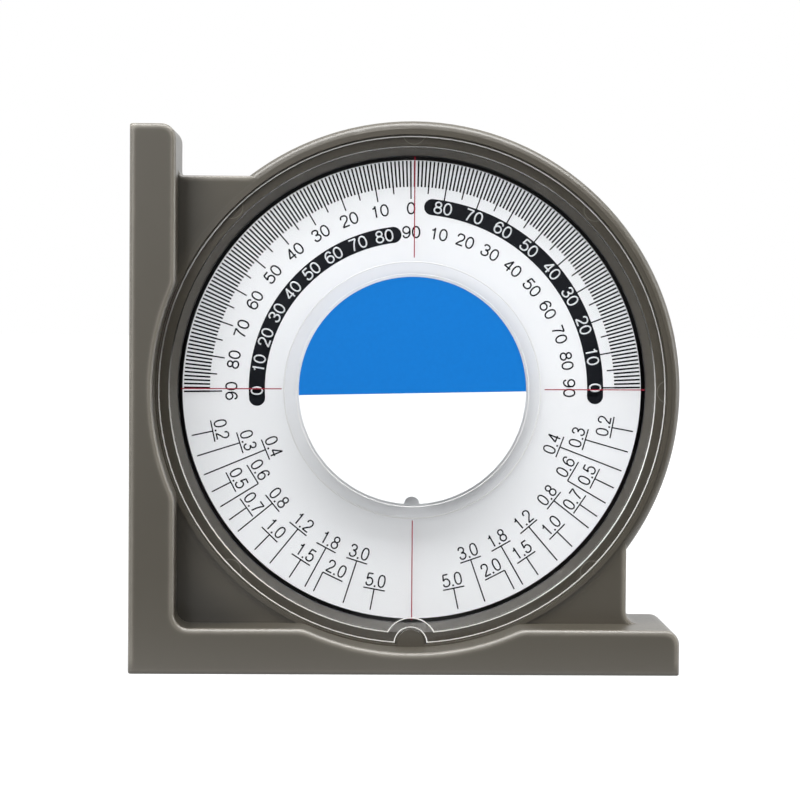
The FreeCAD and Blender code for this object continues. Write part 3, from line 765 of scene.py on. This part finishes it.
# %% [markdown]
# ## Dressing the solid pieces
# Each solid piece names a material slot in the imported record. A table from slot to finish is enough to
# dress them all, and a piece that is added later finds its finish by itself.

# %% Give the solid pieces their finishes
finish_of_slot = {
    "housing_plastic": housing_plastic,
    "clear_lens": clear_lens,
    "label": label_film,
    "dial_white": dial_white,
    "brass": turned_brass,
    "screw_steel": zinc_steel,
    "spring_steel": spring_steel,
    "plate_steel": plate_steel,
    "magnet": magnet_black,
}
slot_of_node = {part["node"]: part["material_slot"] for part in frame["record"]["subparts"]}
for name, node in nodes.items():
    for place in node.material_slots:
        place.material = finish_of_slot[slot_of_node[name]]
print("finished", len(nodes), "solid pieces")

# %% [markdown]
# ## Printing the dial
# A real dial is pad printed. A picture laid on the disc could stand for that, but here every mark is a
# very thin solid on the dial's face, which stays sharp in a close view. Marks are made upright at twelve
# o'clock and then turned about the dial's axis, as a draughtsman would set them out.

# %% Print helpers
# The print on the real dial is a little off its axis and leans a little, and these values say how much.
ink_thickness = 0.02 * MM
print_lean = math.radians(-0.85)
print_right = 0.07 * MM
print_up = 0.10 * MM


def on_dial(clockwise_degrees, radius, flip=False):
    """The matrix that puts a flat mark, drawn in X and Z, at an angle from twelve o'clock."""
    centre = Matrix.Translation(Vector((axis_x + print_right, 0.0, axis_z + print_up)))
    turned = Matrix.Rotation(math.radians(clockwise_degrees) + print_lean, 4, "Y")
    out = Matrix.Translation(Vector((0.0, 0.0, radius)))
    upright = Matrix.Rotation(math.pi if flip else 0.0, 4, "Y")
    return centre @ turned @ out @ upright


def add_bar(builder, width, height, place, y_front, thickness=ink_thickness):
    """A thin bar with its middle at the mark's origin."""
    made = bmesh.ops.create_cube(builder, size=1.0)
    size = Matrix.Diagonal((width, thickness, height, 1.0))
    depth = Matrix.Translation(Vector((0.0, y_front + 0.5 * thickness, 0.0)))
    bmesh.ops.transform(builder, matrix=depth @ place @ size, verts=made["verts"])


def finish_piece(name, builder, material, body):
    """Makes an object of a bmesh, gives it a finish, and lets it ride on a body."""
    bmesh.ops.recalc_face_normals(builder, faces=builder.faces)
    mesh = bpy.data.meshes.new(name)
    builder.to_mesh(mesh)
    builder.free()
    mesh.materials.append(material)
    piece = bpy.data.objects.new(name, mesh)
    bpy.context.scene.collection.objects.link(piece)
    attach(piece, body)
    print(name, len(mesh.polygons), "faces")

# %% [markdown]
# ## Degree scale
# The degree scale runs over the dial's upper half. Each degree has a tick, every fifth is longer and
# every tenth the longest. One bar, turned to each angle in a loop, keeps the spacing exact.

# %% Degree ticks
tick_outer = 41.75 * MM
tick_inner = 37.0 * MM
five_inner = 35.8 * MM
ten_inner = 34.8 * MM
tick_width = 0.31 * MM
long_tick_width = 0.24 * MM
tick_length = tick_outer - tick_inner
print_y = dial_face_y - ink_thickness
ticks = bmesh.new()
for degree in range(-90, 91):
    add_bar(ticks, tick_width, tick_length, on_dial(degree, tick_inner + 0.5 * tick_length), print_y)
    if degree % 5 == 0:
        inner = ten_inner if degree % 10 == 0 else five_inner
        extra = tick_inner - inner
        add_bar(ticks, long_tick_width, extra, on_dial(degree, inner + 0.5 * extra), print_y)
finish_piece("degree_ticks", ticks, ink_black, "dial")

# %% [markdown]
# ## Numerals
# The printed numerals are plain upright sans-serif figures. A text object would be quicker, but drawn
# strokes let their height, width and pen be set to the print's. Each figure is drawn as a pen would draw
# it, with straight strokes and smooth curves through a few points in a box one unit wide and one high. A
# bevel gives the pen's width, and the result is made a mesh and pressed flat.

# %% Numeral strokes
line = "POLY"
curve = "BEZIER"
loop = "LOOP"
numeral_strokes = {
    "0": [(loop, [(0.5, 1.0), (1.0, 0.5), (0.5, 0.0), (0.0, 0.5)])],
    "1": [(line, [(0.62, -0.03), (0.62, 1.03)]), (curve, [(0.62, 1.0), (0.52, 0.86), (0.22, 0.78)])],
    "2": [(curve, [(0.03, 0.70), (0.14, 0.93), (0.5, 1.0), (0.90, 0.88), (0.90, 0.58), (0.45, 0.30),
                   (0.03, 0.0)]),
          (line, [(0.0, 0.0), (1.0, 0.0)])],
    "3": [(curve, [(0.05, 0.78), (0.18, 0.95), (0.48, 1.0), (0.86, 0.87), (0.80, 0.62), (0.38, 0.53)]),
          (curve, [(0.38, 0.53), (0.86, 0.45), (0.96, 0.20), (0.50, 0.0), (0.12, 0.07), (0.0, 0.26)])],
    "4": [(line, [(0.76, -0.03), (0.76, 1.03)]), (line, [(0.76, 1.0), (0.0, 0.27)]),
          (line, [(-0.03, 0.27), (1.03, 0.27)])],
    "5": [(line, [(0.93, 1.0), (0.15, 1.0)]), (line, [(0.18, 1.0), (0.07, 0.50)]),
          (curve, [(0.07, 0.50), (0.48, 0.64), (0.93, 0.50), (0.93, 0.14), (0.48, 0.0), (0.11, 0.06),
                   (0.0, 0.24)])],
    "6": [(loop, [(0.5, 0.62), (1.0, 0.31), (0.5, 0.0), (0.02, 0.31)]),
          (curve, [(0.02, 0.31), (0.07, 0.75), (0.50, 1.0), (0.83, 0.94), (0.95, 0.78)])],
    "7": [(line, [(0.0, 1.0), (1.0, 1.0)]), (curve, [(0.98, 1.0), (0.60, 0.55), (0.36, -0.03)])],
    "8": [(loop, [(0.5, 1.0), (0.91, 0.77), (0.5, 0.54), (0.09, 0.77)]),
          (loop, [(0.5, 0.54), (1.0, 0.27), (0.5, 0.0), (0.0, 0.27)])],
    "9": [(loop, [(0.5, 0.38), (0.0, 0.69), (0.5, 1.0), (0.98, 0.69)]),
          (curve, [(0.98, 0.69), (0.93, 0.25), (0.50, 0.0), (0.17, 0.06), (0.05, 0.22)])],
}
print("numerals drawn:", len(numeral_strokes))

# %% Numeral maker
def make_numeral(strokes, width, height, pen):
    """A flat mesh of one numeral, its lower left corner at the origin, drawn in X and Z."""
    data = bpy.data.curves.new("numeral", "CURVE")
    data.dimensions = "3D"
    data.bevel_depth = 0.5 * pen
    data.bevel_resolution = 0
    data.resolution_u = 4
    data.use_fill_caps = True
    for kind, points in strokes:
        spline = data.splines.new("POLY" if kind == line else "BEZIER")
        held = spline.points if kind == line else spline.bezier_points
        held.add(len(points) - 1)
        for held_point, (across, up) in zip(held, points):
            x = 0.5 * pen + across * (width - pen)
            z = 0.5 * pen + up * (height - pen)
            if kind == line:
                held_point.co = (x, z, 0.0, 1.0)
            else:
                held_point.co = (x, z, 0.0)
                held_point.handle_left_type = "AUTO"
                held_point.handle_right_type = "AUTO"
        spline.use_cyclic_u = kind == loop
    drawn = bpy.data.objects.new("numeral", data)
    mesh = bpy.data.meshes.new_from_object(drawn)
    flat = Matrix.Diagonal((1.0, 1.0, ink_thickness / pen, 1.0))
    mesh.transform(Matrix.Rotation(math.radians(90), 4, "X") @ flat)
    bpy.data.objects.remove(drawn)
    bpy.data.curves.remove(data)
    return mesh


class NumeralStyle:
    """Numerals of one height, width, pen and spacing."""

    def __init__(self, height, width, pen, gap, point_gap):
        self.height = height
        self.width = width
        self.pen = pen
        self.gap = gap
        self.point_gap = point_gap
        self.meshes = {}
        for sign, strokes in numeral_strokes.items():
            self.meshes[sign] = make_numeral(strokes, width, height, pen)

    def add(self, builder, text, place, y_front):
        """Adds a number with its middle at the mark's origin."""
        starts = []
        at = 0.0
        for sign in text:
            starts.append(at)
            at += self.pen + self.point_gap if sign == "." else self.width + self.gap
            if sign != "." and text[len(starts):len(starts) + 1] == ".":
                at += self.point_gap - self.gap
        total = at - self.gap
        depth = Matrix.Translation(Vector((0.0, y_front + 0.5 * ink_thickness, 0.0)))
        for sign, start in zip(text, starts):
            shift = Matrix.Translation(Vector((start - 0.5 * total, 0.0, -0.5 * self.height)))
            if sign == ".":
                half_pen = Matrix.Translation(Vector((0.5 * self.pen, 0.0, 0.5 * self.pen)))
                dot_side = 1.2 * self.pen
                add_bar(builder, dot_side, dot_side, place @ shift @ half_pen, y_front)
                continue
            before = len(builder.verts)
            builder.from_mesh(self.meshes[sign])
            builder.verts.ensure_lookup_table()
            bmesh.ops.transform(builder, matrix=depth @ place @ shift, verts=builder.verts[before:])

# %% [markdown]
# On the left the plain black numbers are the outer row and the white ones the inner. On the right it is
# the other way round. The white numbers will stand on black bands, so they lie one ink's thickness higher,
# and the two prints don't share a face.

# %% Degree numbers
degree_style = NumeralStyle(2.3 * MM, 1.58 * MM, 0.29 * MM, 0.19 * MM, 0.14 * MM)
outer_row = 33.1 * MM
inner_row = 28.75 * MM
band_outer_row = 33.5 * MM
band_inner_row = 28.45 * MM
over_print_y = print_y - ink_thickness
numbers = bmesh.new()
band_numbers = bmesh.new()
for value in range(0, 100, 10):
    degree_style.add(numbers, str(value), on_dial(-value, outer_row), print_y)
    if value < 90:
        degree_style.add(band_numbers, str(value), on_dial(90 - value, band_outer_row), over_print_y)
        degree_style.add(band_numbers, str(value), on_dial(value - 90, band_inner_row), over_print_y)
    if value > 0:
        degree_style.add(numbers, str(value), on_dial(value, inner_row), print_y)
degree_style.add(numbers, "90", on_dial(0, inner_row), print_y)
finish_piece("degree_numbers", numbers, ink_black, "dial")
finish_piece("band_numbers", band_numbers, ink_white, "dial")

# %% [markdown]
# Two curved black bands with round ends carry the white numbers. Each is one thin face that is spun about
# the dial's axis, with a thin disc at each end.

# %% Number bands
def add_band(builder, middle_radius, width, start_degrees, end_degrees):
    """A band with round ends, from one angle to another, clockwise from twelve o'clock."""
    corners = []
    for out, depth in ((-0.5, 0.0), (0.5, 0.0), (0.5, 1.0), (-0.5, 1.0)):
        corners.append(builder.verts.new((0.0, print_y + depth * ink_thickness, middle_radius + out * width)))
    start_face = builder.faces.new(corners)
    start = Matrix.Rotation(math.radians(start_degrees), 4, "Y")
    bmesh.ops.transform(builder, matrix=start, verts=corners)
    sweep = math.radians(end_degrees - start_degrees)
    steps = max(8, int(abs(end_degrees - start_degrees)))
    bmesh.ops.spin(
        builder, geom=[start_face] + list(start_face.edges) + corners, cent=(0.0, 0.0, 0.0),
        axis=(0.0, 1.0, 0.0), angle=sweep, steps=steps, use_merge=False)


bands = bmesh.new()
band_width = 2.95 * MM
band_near_end = 6.6
band_far_end = 92.6
stand = Matrix.Rotation(math.radians(90), 4, "X")
for middle_radius, start_degrees, end_degrees in (
        (band_inner_row, -band_far_end, -band_near_end), (band_outer_row, band_near_end, band_far_end)):
    add_band(bands, middle_radius, band_width, start_degrees, end_degrees)
    out = Matrix.Translation(Vector((0.0, print_y + 0.5 * ink_thickness, middle_radius)))
    for degrees in (start_degrees, end_degrees):
        disc = bmesh.ops.create_cone(
            bands, cap_ends=True, segments=32, radius1=0.5 * band_width, radius2=0.5 * band_width,
            depth=ink_thickness)
        turned = Matrix.Rotation(math.radians(degrees), 4, "Y")
        bmesh.ops.transform(bands, matrix=turned @ out @ stand, verts=disc["verts"])
bmesh.ops.transform(bands, matrix=on_dial(0.0, 0.0), verts=bands.verts)
finish_piece("number_bands", bands, ink_black, "dial")

# %% [markdown]
# ## Slope scale
# The dial's lower half reads slope as rise over run, on both sides. A value stands at the angle whose
# tangent it is. A radial line leads in from the edge to a short bar, and the number stands on the bar.

# %% Slope scale
far_row = 37.3 * MM
mid_row = 33.05 * MM
near_row = 29.05 * MM
slope_rows = {
    0.2: far_row, 0.3: mid_row, 0.4: near_row, 0.5: far_row, 0.6: mid_row, 0.7: far_row, 0.8: mid_row,
    1.0: far_row, 1.2: mid_row, 1.5: far_row, 1.8: mid_row, 2.0: far_row, 3.0: mid_row, 5.0: far_row,
}
slope_line_outer = 41.2 * MM
slope_pen = 0.24 * MM
slope_bar = 4.0 * MM
slope_gap = 0.40 * MM
half_bar_outward = 0.6
half_bar_inward = 2.0
slope_style = NumeralStyle(2.47 * MM, 1.42 * MM, 0.27 * MM, 0.22 * MM, 0.27 * MM)
slopes = bmesh.new()
for value, bar_radius in slope_rows.items():
    below = math.degrees(math.atan(value))
    length = slope_line_outer - bar_radius
    for side in (-1, 1):
        clockwise = side * (90.0 + below)
        add_bar(slopes, slope_pen, length, on_dial(clockwise, bar_radius + 0.5 * length), print_y)
        centred = on_dial(clockwise, bar_radius, flip=True)
        bar_shift = 0.0
        if value == half_bar_outward:
            bar_shift = 0.5 * side * slope_bar
        if value == half_bar_inward:
            bar_shift = -0.5 * side * slope_bar
        shifted = centred @ Matrix.Translation(Vector((bar_shift, 0.0, 0.0)))
        add_bar(slopes, slope_bar, slope_pen, shifted, print_y)
        rise = Matrix.Translation(Vector((0.0, 0.0, slope_gap + 0.5 * slope_style.height)))
        slope_style.add(slopes, f"{value:.1f}", shifted @ rise, print_y)
finish_piece("slope_scale", slopes, ink_black, "dial")

# %% [markdown]
# ## Hairlines
# Four red hairlines are printed on the lens's rear face, outside its boss. The reader lines the scale up
# with them. They ride on the case and not on the dial, and they are thin bars like the ticks. The print is
# a little off the axis, and its two level lines lean a little.

# %% Hairlines
hairline_width = 0.20 * MM
hairline_inner = 24.0 * MM
hairline_outer = 42.35 * MM
hairline_right = 0.16 * MM
hairline_up = 0.21 * MM
level_lean = math.radians(-0.18)
boss_height = 1.0 * MM
plate_rear_y = lens_high.y - boss_height
hairline_gap = 0.005 * MM
hairline_length = hairline_outer - hairline_inner
centre = Matrix.Translation(Vector((axis_x + hairline_right, 0.0, axis_z + hairline_up)))
out = Matrix.Translation(Vector((0.0, 0.0, hairline_inner + 0.5 * hairline_length)))
hairlines = bmesh.new()
for clockwise, lean in ((0.0, 0.0), (90.0, level_lean), (180.0, 0.0), (270.0, level_lean)):
    turned = Matrix.Rotation(math.radians(clockwise) + lean, 4, "Y")
    add_bar(hairlines, hairline_width, hairline_length, centre @ turned @ out, plate_rear_y + hairline_gap)
finish_piece("hairlines", hairlines, hairline_red, "case")

# %% [markdown]
# ## Rounded rims on the lens
# The lip of the label's recess and the rear edge of the boss are slightly rounded on a real moulding, and
# the rounding catches light as a fine pale ring round the label. That light is painted: each ring is a thin
# pale solid spun round the axis, with a painted highlight finish.

# %% Rounded rims
def add_ring(builder, ring_radius, y_middle, thickness):
    """A thin closed ring about the dial's axis, with an eight-sided section."""
    section = bmesh.ops.create_circle(builder, cap_ends=False, segments=8, radius=0.5 * thickness)["verts"]
    sides = [edge for edge in builder.edges if edge.verts[0] in section]
    on_edge = Matrix.Rotation(math.radians(90), 4, "Y")
    out = Matrix.Translation(Vector((0.0, y_middle, ring_radius)))
    bmesh.ops.transform(builder, matrix=out @ on_edge, verts=section)
    bmesh.ops.spin(
        builder, geom=section + sides, cent=(0.0, 0.0, 0.0), axis=(0.0, 1.0, 0.0), angle=2.0 * math.pi,
        steps=144, use_merge=True)


# painted highlight: the rings are pale opaque solids standing in for light on the clear rounded edges
rim_painted_highlight = make_finish(
    "rim_painted_highlight", (0.80, 0.80, 0.79), (0.85, 0.85, 0.85), 0.25,
    spread=0.06, tone_scale=500.0, grain_scale=7000.0, grain_depth=0.000002, pale_edge_amount=0.0, dust_amount=0.0)
recess_rim_radius = 21.2 * MM
recess_rim_depth = 0.03 * MM
recess_rim_thickness = 0.12 * MM
boss_rim_radius = 23.44 * MM
boss_rim_depth = 0.05 * MM
boss_rim_thickness = 0.18 * MM
rims = bmesh.new()
add_ring(rims, recess_rim_radius, lens_low.y + recess_rim_depth, recess_rim_thickness)
add_ring(rims, boss_rim_radius, lens_high.y - boss_rim_depth, boss_rim_thickness)
bmesh.ops.remove_doubles(rims, verts=rims.verts, dist=1e-7)
bmesh.ops.transform(rims, matrix=Matrix.Translation(Vector((axis_x, 0.0, axis_z))), verts=rims.verts)
for face in rims.faces:
    face.smooth = True
finish_piece("lens_rims", rims, rim_painted_highlight, "case")
